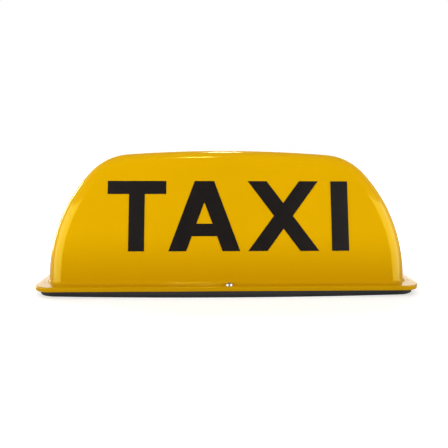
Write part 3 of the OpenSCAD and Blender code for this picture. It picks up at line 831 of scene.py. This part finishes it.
    def build(self) -> None:
        """Makes the dome as one closed shell."""
        maker = Maker("dome_shell")
        outer = self.add_skin(maker, self.edge_r, flip=False)
        inner = self.add_skin(maker, self.edge_r - self.wall, flip=True)
        points = np.vstack(maker.points)
        dirs, centres = self.ring_frame()

        def foot(ring: np.ndarray, out: float, z: float) -> np.ndarray:
            """Places of a new ring, at a distance out from a foot ring."""
            plan = points[ring][:, :2] + out * dirs
            return maker.add(np.column_stack([plan, np.full(len(plan), z)]))

        def flange(inset: float, z: float) -> np.ndarray:
            """Places of a new ring, at a distance in from the flange's outline."""
            plan = centres + (self.flange_r - inset) * dirs
            return maker.add(np.column_stack([plan, np.full(len(plan), z)]))

        fillet = self.foot_fillet
        rings = [outer]
        for out, up in arc((fillet, fillet), fillet, 180, 270, self.fillet_steps)[1:]:
            rings.append(foot(outer, out, self.flange_z + up))
        r = self.rim_round
        width = self.side_shelf - fillet - r
        for share in self.shelf_shares:
            rings.append(flange(r + width * share, self.flange_z))
        for inset, up in arc((r, -r), r, 90, 180, self.rim_steps[0]):
            rings.append(flange(inset, self.flange_z + up))
        b = r / 2
        for inset, up in arc((b, b), b, 180, 270, self.rim_steps[1]):
            rings.append(flange(inset, self.rim_z + up))
        under = self.flange_z - self.flange_t
        rings += [flange(self.rim_t, self.rim_z), flange(self.rim_t, under)]
        rings += [foot(inner, 0.0, under), inner]
        maker.skin(np.stack(rings), closed=True)
        self.place(maker.object(ACRYLIC, 50), "sign", "acrylic_yellow", "dome")


@dataclass
class Lettering(SubAssembly):
    """The word on the front and rear faces, in plain block capitals of cut vinyl."""

    dome: Dome
    stroke: float = 14.5
    low_z: float = 38.8
    height: float = 65.5
    film: float = 0.3
    widths: tuple[float, float, float] = (54.0, 66.0, 66.0)
    gaps: tuple[float, float, float] = (2.5, 7.5, 12.0)
    cell: float = 6.0

    def letter_t(self, w: float) -> list[list[tuple[float, float]]]:
        """Outlines of the T."""
        h, s = self.height, self.stroke
        bar, left, right = h - s * 0.85, (w - s) / 2, (w + s) / 2
        return [
            [(left, 0), (right, 0), (right, bar), (w, bar), (w, h), (0, h), (0, bar), (left, bar)]
        ]

    def letter_a(self, w: float) -> list[list[tuple[float, float]]]:
        """Outlines of the A: the letter with its lower gap, then its counter."""
        h, leg, apex = self.height, self.stroke * 1.12, self.stroke * 0.62
        low, high = self.stroke * 0.95, self.stroke * 1.75
        k = (w / 2 - apex) / h
        peak = (w / 2 - leg) / k
        body = [(0, 0), (leg, 0), (leg + k * low, low), (w - leg - k * low, low), (w - leg, 0)]
        body += [(w, 0), (w / 2 + apex, h), (w / 2 - apex, h)]
        return [body, [(leg + k * high, high), (w - leg - k * high, high), (w / 2, peak)]]

    def letter_x(self, w: float) -> list[list[tuple[float, float]]]:
        """Outlines of the X."""
        h, leg = self.height, self.stroke * 1.22
        side = (w - leg) / 2
        notch = h * (w / 2 - leg) / (w - leg)
        low = [(0, 0), (leg, 0), (w / 2, notch), (w - leg, 0), (w, 0), (w - side, h / 2)]
        high = [(w, h), (w - leg, h), (w / 2, h - notch), (leg, h), (0, h), (side, h / 2)]
        return [low + high]

    def word(self) -> list[tuple[float, list[list[tuple[float, float]]]]]:
        """Each letter's start along the sign and its outlines."""
        last = self.stroke * 1.1
        start = -(sum(self.widths) + last + sum(self.gaps)) / 2
        t, a, x = self.widths
        bar = [[(0, 0), (last, 0), (last, self.height), (0, self.height)]]
        word = []
        for width, gap, outlines in (
            (t, self.gaps[0], self.letter_t(t)),
            (a, self.gaps[1], self.letter_a(a)),
            (x, self.gaps[2], self.letter_x(x)),
            (last, 0.0, bar),
        ):
            word.append((start, outlines))
            start += width + gap
        return word

    def flat_word(self) -> bmesh.types.BMesh:
        """The word as flat film, cut into small cells so that it can follow the dome's face."""
        flat = bmesh.new()
        for start, outlines in self.word():
            edges = []
            for outline in outlines:
                ring = [flat.verts.new((start + x, y, 0)) for x, y in outline]
                edges += [flat.edges.new(pair) for pair in zip(ring, ring[1:] + ring[:1])]
            bmesh.ops.triangle_fill(flat, edges=edges, use_beauty=True, normal=(0, 0, 1))
        reach = self.dome.half_l
        for axis, span in ((0, (-reach, reach)), (1, (0, self.height))):
            for at in np.arange(span[0] + self.cell, span[1], self.cell):
                normal = Vector((1, 0, 0)) if axis == 0 else Vector((0, 1, 0))
                everything = flat.verts[:] + flat.edges[:] + flat.faces[:]
                bmesh.ops.bisect_plane(
                    flat, geom=everything, plane_co=normal * float(at), plane_no=normal, dist=1e-5
                )
        grown = bmesh.ops.extrude_face_region(flat, geom=flat.faces[:])
        for vert in (g for g in grown["geom"] if isinstance(g, bmesh.types.BMVert)):
            vert.co.z = self.film
        return flat

    def side(self, name: str, slot: str, node: str, turned: bool) -> None:
        """Makes the word on one face.

        Args:
            name: The piece's name.
            slot: Its material slot.
            node: The CAD node that it stands for.
            turned: Whether it is on the rear face.
        """
        film = self.flat_word()
        start_up = (self.low_z - self.dome.flange_z) / math.cos(self.dome.lean)
        for vert in film.verts:
            x, up, out = vert.co
            point = self.dome.face_point(x, start_up + up, out) * MM
            vert.co = Vector((-point[0], -point[1], point[2]) if turned else point)
        bmesh.ops.recalc_face_normals(film, faces=film.faces)
        mesh = bpy.data.meshes.new(name)
        film.to_mesh(mesh)
        film.free()
        self.place(shown(mesh, name, VINYL, 35), "sign", slot, node)

    def build(self) -> None:
        """Makes the word on the front and on the rear."""
        self.side("front_word", "vinyl_black", "front_lettering", turned=False)
        self.side("rear_word", "vinyl_black", "rear_lettering", turned=True)


# ---------------------------------------------------------------- foot of the sign


@dataclass
class Skirt(SubAssembly):
    """The moulded rubber skirt under the edge of the base."""

    bow: float = 5.5
    bow_half: float = 150.0
    corner_r: float = 18.0
    width: float = 6.0
    lip_round: float = 0.5
    groove: tuple[float, float] = (0.12, 1.1)
    corner_steps: int = 16
    long_steps: int = 40

    def outline(self, inset: float) -> np.ndarray:
        """The base's outline in plan, moved in by a distance."""
        half_l, half_w = self.high[0], self.high[1]
        arc_r = (self.bow_half**2 + self.bow**2) / (2 * self.bow)
        cx, yc = half_l - self.corner_r, half_w - arc_r
        cy = yc + math.sqrt((arc_r - self.corner_r) ** 2 - cx**2)
        tangent = math.degrees(math.atan2(cy - yc, cx))
        corner = arc((cx, cy), self.corner_r - inset, 0, tangent, self.corner_steps)
        long = arc((0, yc), arc_r - inset, tangent, 90, self.long_steps)[1:]
        quarter = np.array(corner + long)
        half = np.vstack([quarter, quarter[-2::-1] * [-1, 1]])
        return np.vstack([half, half[::-1] * [1, -1]])

    def build(self) -> None:
        """Makes the skirt as one closed ring."""
        _, self.high = frame_box("rubber_skirt")
        maker = Maker("skirt")
        r = self.lip_round
        depth, z = self.groove
        profile = [(0.0, self.high[2]), (0.0, z + 0.5), (depth, z + 0.35), (depth, z + 0.15), (0.0, z)]
        profile += arc((r, r), r, 180, 270, 5)
        profile += [(self.width - 1.2, 0.0), (self.width - 0.8, 0.3), (self.width, 0.3)]
        profile += [(self.width, self.high[2])]
        rings = []
        for inset, z in profile:
            plan = self.outline(inset)
            rings.append(maker.add(np.column_stack([plan, np.full(len(plan), z)])))
        maker.skin(np.stack(rings + rings[:1]), closed=True)
        self.place(maker.object(RUBBER), "sign", "rubber_black", "rubber_skirt")


@dataclass
class PanScrew:
    """A pan-head screw with a cross recess and a grooved shank."""

    shank_r: float
    head_r: float
    head_h: float
    recess_half: float
    recess_w: float
    pitch: float
    rings: int = 14
    steps: int = 72
    tip_share: float = 0.012
    rim_share: float = 0.12
    root_share: float = 0.8
    fade: float = 0.35
    soft: float = 0.18

    def add(self, maker: Maker, x: float, y: float, z: float, tip: float) -> None:
        """Adds the screw, pointing down.

        Args:
            maker: The mesh under construction.
            x: Place of its axis.
            y: Place of its axis.
            z: Height of the face that its head rests on.
            tip: Height of its tip.
        """
        turn = np.linspace(0, 2 * math.pi, self.steps, endpoint=False)
        shares = [i / self.rings for i in range(self.rings, -1, -1)]
        rings = []
        for share in shares:
            radius = max(share, self.tip_share) * self.head_r
            px, py = radius * np.cos(turn), radius * np.sin(turn)
            top = self.head_h * (1 - share**5) ** 0.45 if share < 1 else self.head_h * self.rim_share
            height = z + np.full(self.steps, top) - self.recess(px, py)
            rings.append(maker.add(np.column_stack([x + px, y + py, height])))
        px, py = self.head_r * np.cos(turn), self.head_r * np.sin(turn)
        base = maker.add(np.column_stack([x + px, y + py, np.full(self.steps, z)]))
        maker.skin(np.stack([base] + rings), closed=True)
        maker.cap(rings[-1])
        maker.cap(base, flip=True)
        place = Matrix.Translation((x, y, 0))
        profile = [(0.0, tip), (self.shank_r * 0.55, tip)]
        root = self.shank_r * self.root_share
        turns = int((z - tip - 0.6) / self.pitch)
        for i in range(turns):
            low = tip + 0.5 + i * self.pitch
            profile += [(root, low), (self.shank_r, low + self.pitch * 0.5)]
        profile += [(root, z - 0.1), (self.shank_r, z), (0.0, z)]
        maker.lathe(profile, place, 32)

    def recess(self, px: np.ndarray, py: np.ndarray) -> np.ndarray:
        """Depth of the cross recess at each place on the head."""
        depth = np.zeros_like(px)
        for along, across in ((px, py), (py, px)):
            arm = np.clip((self.recess_half - np.abs(along)) / self.fade, 0, 1)
            width = np.clip((self.recess_w / 2 - np.abs(across)) / self.soft + 0.5, 0, 1)
            depth = np.maximum(depth, arm * width)
        return depth * self.head_h * 0.55


@dataclass
class DomeScrews(SubAssembly):
    """The screws at the middle of the flange's long sides."""

    dome: Dome
    shank_r: float = 1.75
    recess_half: float = 1.9
    recess_w: float = 0.75
    pitch: float = 1.25

    def build(self) -> None:
        """Makes both screws as one piece."""
        low, high = frame_box("dome_screws")
        head_r = high[0]
        y = high[1] - head_r
        maker = Maker("flange_screws")
        top = self.dome.flange_z
        cross = (self.recess_half, self.recess_w)
        screw = PanScrew(self.shank_r, head_r, high[2] - top, *cross, self.pitch)
        for side in (-1, 1):
            screw.add(maker, 0.0, side * y, top, low[2])
        self.place(maker.object(ZINC), "sign", "zinc_steel", "dome_screws")


@dataclass
class MagnetBoots(SubAssembly):
    """The rubber boots that line the steel pots of the magnets."""

    wall: float = 1.0
    hole_r: float = 4.6
    groove: float = 0.35
    groove_radii: tuple[float, ...] = (17.5, 14.0, 10.5, 7.0)

    def build(self) -> None:
        """Makes one boot for each corner."""
        for name in ("front_left", "front_right", "rear_left", "rear_right"):
            low, high = frame_box(f"magnet_boot_{name}")
            cx, cy = (low[0] + high[0]) / 2, (low[1] + high[1]) / 2
            radius, top = (high[0] - low[0]) / 2, high[2]
            profile = [(radius - self.wall, self.wall), (radius - self.wall, top), (radius, top)]
            profile += [(radius, 0.7), (radius - 0.2, 0.2), (radius - 0.7, 0.0)]
            for at in self.groove_radii:
                profile += [(at + 0.6, 0.0), (at + 0.3, self.groove), (at - 0.3, self.groove)]
                profile += [(at - 0.6, 0.0)]
            profile += [(self.hole_r + 0.3, 0.0), (self.hole_r, 0.3), (self.hole_r, self.wall)]
            profile += [(radius - self.wall, self.wall)]
            maker = Maker(f"boot_{name}")
            maker.lathe(profile, Matrix.Translation((cx, cy, 0)), 96)
            self.place(maker.object(RUBBER), "sign", "rubber_black", f"magnet_boot_{name}")


@dataclass
class CordGrommet(SubAssembly):
    """The rubber grommet of the cord inlet, low in the rear face."""

    dome: Dome
    x: float = 40.0
    up: float = 13.0
    bore_r: float = 2.1
    neck_r: float = 4.5
    lip_r: float = 7.0
    lip: float = 1.8

    def build(self) -> None:
        """Makes the grommet square to the leaning face."""
        front = self.dome.face_point(-self.x, self.up)
        front = front - self.dome.face_swell(-self.x, float(front[2])) * self.dome.face_n
        normal = Vector((0.0, -self.dome.face_n[1], self.dome.face_n[2]))
        side = Vector((1, 0, 0))
        above = normal.cross(side)
        turn = Matrix((side, above, normal)).transposed().to_4x4()
        place = Matrix.Translation((self.x, -front[1], front[2])) @ turn
        wall, r = self.dome.wall, self.lip * 0.45
        profile = [(self.bore_r, -wall - self.lip), (self.bore_r, self.lip - 0.4)]
        profile += [(self.bore_r + 0.4, self.lip)]
        profile += arc((self.lip_r - r, self.lip - r), r, 90, 0, 6)
        profile += [(self.lip_r - 0.15, 0.0), (self.neck_r, 0.0), (self.neck_r, -wall)]
        profile += [(self.lip_r, -wall), (self.lip_r, -wall - self.lip)]
        profile += [(self.bore_r, -wall - self.lip)]
        maker = Maker("grommet")
        maker.lathe(profile, place, 64)
        self.place(maker.object(RUBBER), "sign", "rubber_black", "cord_grommet")


# ---------------------------------------------------------------- lamps


@dataclass
class Lamp(SubAssembly):
    """One bayonet bulb with its contact spring."""

    side: str
    glass_t: float = 0.7
    neck_r: float = 7.1
    shoulder_r: float = 3.0
    wire_r: float = 0.35
    coil_r: float = 5.4
    turns: float = 2.5
    support_x: float = 2.4
    support_r: float = 0.16
    filament_turns: int = 18
    filament_coil_r: float = 0.38
    filament_wire_r: float = 0.06

    def build(self) -> None:
        """Makes the glass, the filament and the spring."""
        self.build_glass()
        self.build_filament()
        self.build_spring()

    def build_glass(self) -> None:
        """Makes the blown bulb, its neck running into the sphere in one smooth line."""
        low, high = frame_box(f"bulb_glass_{self.side}")
        self.x = (low[0] + high[0]) / 2
        radius = (high[0] - low[0]) / 2
        self.centre = high[2] - radius
        maker = Maker(f"glass_{self.side}")
        place = Matrix.Translation((self.x, 0, 0))
        outer = self.bulb_profile(radius, self.neck_r, low[2])
        wall = self.glass_t
        inner = self.bulb_profile(radius - wall, self.neck_r - wall, low[2] + wall)
        maker.lathe(outer, place, 64)
        maker.lathe(inner[::-1], place, 64)
        piece = maker.object(LAMP_GLASS, nested=True)
        self.place(piece, f"bulb_{self.side}", "lamp_glass", f"bulb_glass_{self.side}")

    def bulb_profile(self, radius: float, neck: float, low: float) -> list[tuple[float, float]]:
        """Radius and height along the bulb, from its base to its crown."""
        start = math.degrees(math.acos(min(1.0, neck / radius)))
        body = arc((0.0, self.centre), radius, -start, 90, 24)
        return [(0.0, low), (neck - 0.6, low), (neck, low + 0.6)] + body[:-1] + [(0.0, body[-1][1])]

    def build_filament(self) -> None:
        """Makes the coiled filament and its two support wires."""
        low, _ = frame_box(f"bulb_filament_{self.side}")
        maker = Maker(f"filament_{self.side}")
        t = np.linspace(0, 1, self.filament_turns * 12 + 1)
        turn = 2 * math.pi * self.filament_turns * t
        coil_r = self.filament_coil_r
        along = self.x + self.support_x * (2 * t - 1)
        coil = [along, coil_r * np.cos(turn), self.centre + coil_r * np.sin(turn)]
        maker.tube(np.column_stack(coil), self.filament_wire_r, 6)
        for sign in (-1, 1):
            foot = np.array([self.x + sign * 1.0, 0.05, low[2] + 1.5])
            bend = np.array([self.x + sign * 1.2, 0.05, low[2] + 5.0])
            tip = np.array([self.x + sign * self.support_x, 0.3, self.centre])
            maker.tube(np.array([foot, bend, tip]), self.support_r, 8)
        base = [(0.0, 0.0), (1.7, 0.0), (1.8, 1.6), (1.3, 2.3), (0.0, 2.3)]
        bead = [(radius, low[2] + up) for radius, up in base]
        maker.lathe(bead, Matrix.Translation((self.x, 0, 0)), 24)
        piece = maker.object(TUNGSTEN)
        self.place(piece, f"bulb_{self.side}", "tungsten", f"bulb_filament_{self.side}")

    def build_spring(self) -> None:
        """Makes the contact spring with closed end turns."""
        low, high = frame_box(f"contact_spring_{self.side}")
        bottom, top = low[2] + self.wire_r, high[2] - self.wire_r
        t = np.linspace(0, 1, 161)
        turn = 2 * math.pi * self.turns * t
        rise = np.clip((t - 0.1) / 0.8, 0, 1)
        maker = Maker(f"spring_{self.side}")
        px, py = self.x + self.coil_r * np.cos(turn), self.coil_r * np.sin(turn)
        maker.tube(np.column_stack([px, py, bottom + (top - bottom) * rise]), self.wire_r, 10)
        piece = maker.object(SPRING_WIRE)
        self.place(piece, "sign", "spring_steel", f"contact_spring_{self.side}")
        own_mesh(piece)


@dataclass
class CarriedParts(SubAssembly):
    """The CAD nodes that are shown as they are, each with its own finish."""

    nodes: dict[str, bpy.types.Object]
    sharp_deg: float = 30.0

    def build(self) -> None:
        """Dresses every CAD node that nothing has replaced."""
        for name, node in self.nodes.items():
            if node.hide_render:
                continue
            finish = self.finish_of(name)
            node.data.materials.clear()
            node.data.materials.append(finish.material())
            node.data.shade_smooth()
            node.data.set_sharp_from_angle(angle=math.radians(self.sharp_deg))
            LOG.info("%s: CAD node in %s", name, finish.name)

    @staticmethod
    def finish_of(name: str) -> Finish:
        """The finish of a CAD node."""
        starts = [start for start in CARRIED_FINISHES if name.startswith(start)]
        return CARRIED_FINISHES[max(starts, key=len)]


# ---------------------------------------------------------------- studio


@dataclass
class Softbox:
    """A rectangular studio light that faces the sign from a bearing.

    The azimuth is measured from -Y towards +X, and both angles are in degrees.
    """

    name: str
    azimuth: float
    elevation: float
    distance: float
    width: float
    height: float
    radiance: float
    aim_z: float = 0.07

    def build(self) -> None:
        """Adds the light, as strong as its radiance and its area ask."""
        light = bpy.data.lights.new(self.name, "AREA")
        light.shape = "RECTANGLE"
        light.size, light.size_y = self.width, self.height
        light.energy = self.radiance * math.pi * self.width * self.height
        lamp = bpy.data.objects.new(self.name, light)
        turn, rise = math.radians(self.azimuth), math.radians(self.elevation)
        level = math.cos(rise)
        aim = Vector((math.sin(turn) * level, -math.cos(turn) * level, math.sin(rise)))
        lamp.location = Vector((0.0, 0.0, self.aim_z)) + self.distance * aim
        lamp.rotation_euler = aim.to_track_quat("Z", "Y").to_euler()
        bpy.context.scene.collection.objects.link(lamp)


@dataclass
class Studio:
    """A white table in a white tent, with soft lights and the camera."""

    camera_place: tuple[float, float, float] = (-0.0157, -0.4617, 0.1236)
    camera_turn_deg: float = 1.95
    camera_tilt_deg: float = 7.84
    camera_roll_deg: float = 0.22
    focal_mm: float = 36.87
    shift: tuple[float, float] = (-0.0072, -0.0057)
    backdrop: str = "FFFFFF"
    table_glow: float = 0.4
    shadow_reach: float = 0.2
    shadow_fade: float = 1.6
    table_bounce: str = "C4C4C4"
    tent_side: float = 0.5
    tent_front: float = 0.1
    tent_top: float = 0.45
    front_band: tuple[float, float] = (-0.95, -0.55)
    top_band: tuple[float, float] = (0.3, 0.8)

    def build(self) -> None:
        """Makes the table, the tent's light, the lamps and the camera."""
        self.build_table()
        self.build_tent()
        for box in (
            Softbox("soft_left", -58, 14, 2.2, 2.3, 1.1, 4.05),
            Softbox("soft_right", 61, 14, 2.2, 2.5, 1.1, 3.5),
            Softbox("strip_left", -118, 10, 1.6, 0.12, 0.9, 22.0),
            Softbox("backdrop", 180, 16, 2.6, 4.0, 1.3, 1.5),
            Softbox("glint_front", -11, 72, 1.5, 0.16, 0.06, 60.0),
            Softbox("glint_back", 178, 56, 1.5, 0.16, 0.06, 60.0),
        ):
            box.build()
        self.build_camera()
        bpy.context.scene.view_settings.view_transform = "Standard"
        bpy.context.scene.view_settings.look = "None"

    def build_table(self) -> None:
        """Lays the pale table top under the sign. It glows with painted light: weakly within
        shadow_reach of the sign, so that the shadow there shows, and fully further off, so that the
        table reads white.
        """
        half = 30.0
        mesh = bpy.data.meshes.new("table_top")
        corners = [(-half, -half, 0), (half, -half, 0), (half, half, 0), (-half, half, 0)]
        mesh.from_pydata(corners, [], [(0, 1, 2, 3)])
        table = shown(mesh, "table_top", TABLE, 35)
        tree = table.data.materials[0].node_tree
        surface = tree.nodes["Principled BSDF"].outputs["BSDF"]
        place = add_node(tree, "ShaderNodeTexCoord").outputs["Object"]
        reach = add_node(tree, "ShaderNodeVectorMath", {"operation": "LENGTH"})
        tree.links.new(place, reach.inputs[0])
        # painted light: the glow runs from table_glow near the sign to full strength further off
        fade = (self.shadow_reach, self.shadow_fade * self.shadow_reach)
        glow = smooth_range(tree, reach.outputs["Value"], fade, (self.table_glow, 1.0))
        colour = {"Color": to_linear(self.backdrop)}
        lit = add_node(tree, "ShaderNodeEmission", colour, {"Strength": glow}).outputs["Emission"]
        dark = add_node(tree, "ShaderNodeBsdfDiffuse", {"Color": to_linear(self.table_bounce)})
        both = add_node(tree, "ShaderNodeAddShader")
        tree.links.new(surface, both.inputs[0])
        tree.links.new(lit, both.inputs[1])
        shader = seen_or_lit(tree, dark.outputs["BSDF"], both.outputs["Shader"])
        tree.links.new(shader, tree.nodes["Material Output"].inputs["Surface"])

    def build_tent(self) -> None:
        """Lights the tent: bright above and behind, dark round the camera."""
        world = bpy.data.worlds.new("tent")
        world.use_nodes = True
        tree = world.node_tree
        tree.nodes.clear()
        aim = add_node(tree, "ShaderNodeTexCoord").outputs["Generated"]
        split = add_node(tree, "ShaderNodeSeparateXYZ", links={"Vector": aim})
        ends = (self.tent_front, self.tent_side)
        level = smooth_range(tree, split.outputs["Y"], self.front_band, ends)
        dim = smooth_range(tree, split.outputs["Z"], self.top_band, (1.0, self.tent_top))
        strength = add_node(tree, "ShaderNodeMath", {"operation": "MULTIPLY"})
        tree.links.new(level, strength.inputs[0])
        tree.links.new(dim, strength.inputs[1])
        colour = to_linear(self.backdrop)
        lit = add_node(
            tree, "ShaderNodeBackground", {"Color": colour}, {"Strength": strength.outputs[0]}
        )
        plain = add_node(tree, "ShaderNodeBackground", {"Color": colour, "Strength": 1.0})
        shader = seen_or_lit(tree, lit.outputs["Background"], plain.outputs["Background"])
        add_node(tree, "ShaderNodeOutputWorld", links={"Surface": shader})
        bpy.context.scene.world = world

    def build_camera(self) -> None:
        """Places the camera a little left of the middle, just above the lettering."""
        data = bpy.data.cameras.new("camera")
        data.sensor_width = 36.0
        data.lens = self.focal_mm
        data.shift_x, data.shift_y = self.shift
        data.clip_end = 100.0
        camera = bpy.data.objects.new("camera", data)
        turn = Matrix.Rotation(math.radians(-self.camera_turn_deg), 4, "Z")
        tilt = Matrix.Rotation(math.radians(90 - self.camera_tilt_deg), 4, "X")
        roll = Matrix.Rotation(math.radians(self.camera_roll_deg), 4, "Z")
        camera.matrix_world = Matrix.Translation(self.camera_place) @ turn @ tilt @ roll
        bpy.context.scene.collection.objects.link(camera)
        bpy.context.scene.camera = camera


def main() -> None:
    """Builds the sign's looks round its frame."""
    logging.basicConfig(level=logging.INFO, format="%(name)s: %(message)s")
    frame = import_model()
    Studio().build()
    dome = Dome()
    for group in (
        dome,
        Lettering(dome),
        Skirt(),
        DomeScrews(dome),
        MagnetBoots(),
        CordGrommet(dome),
        Lamp("left"),
        Lamp("right"),
        CarriedParts(frame["nodes"]),
    ):
        group.build()


if __name__ == "__main__":
    main()
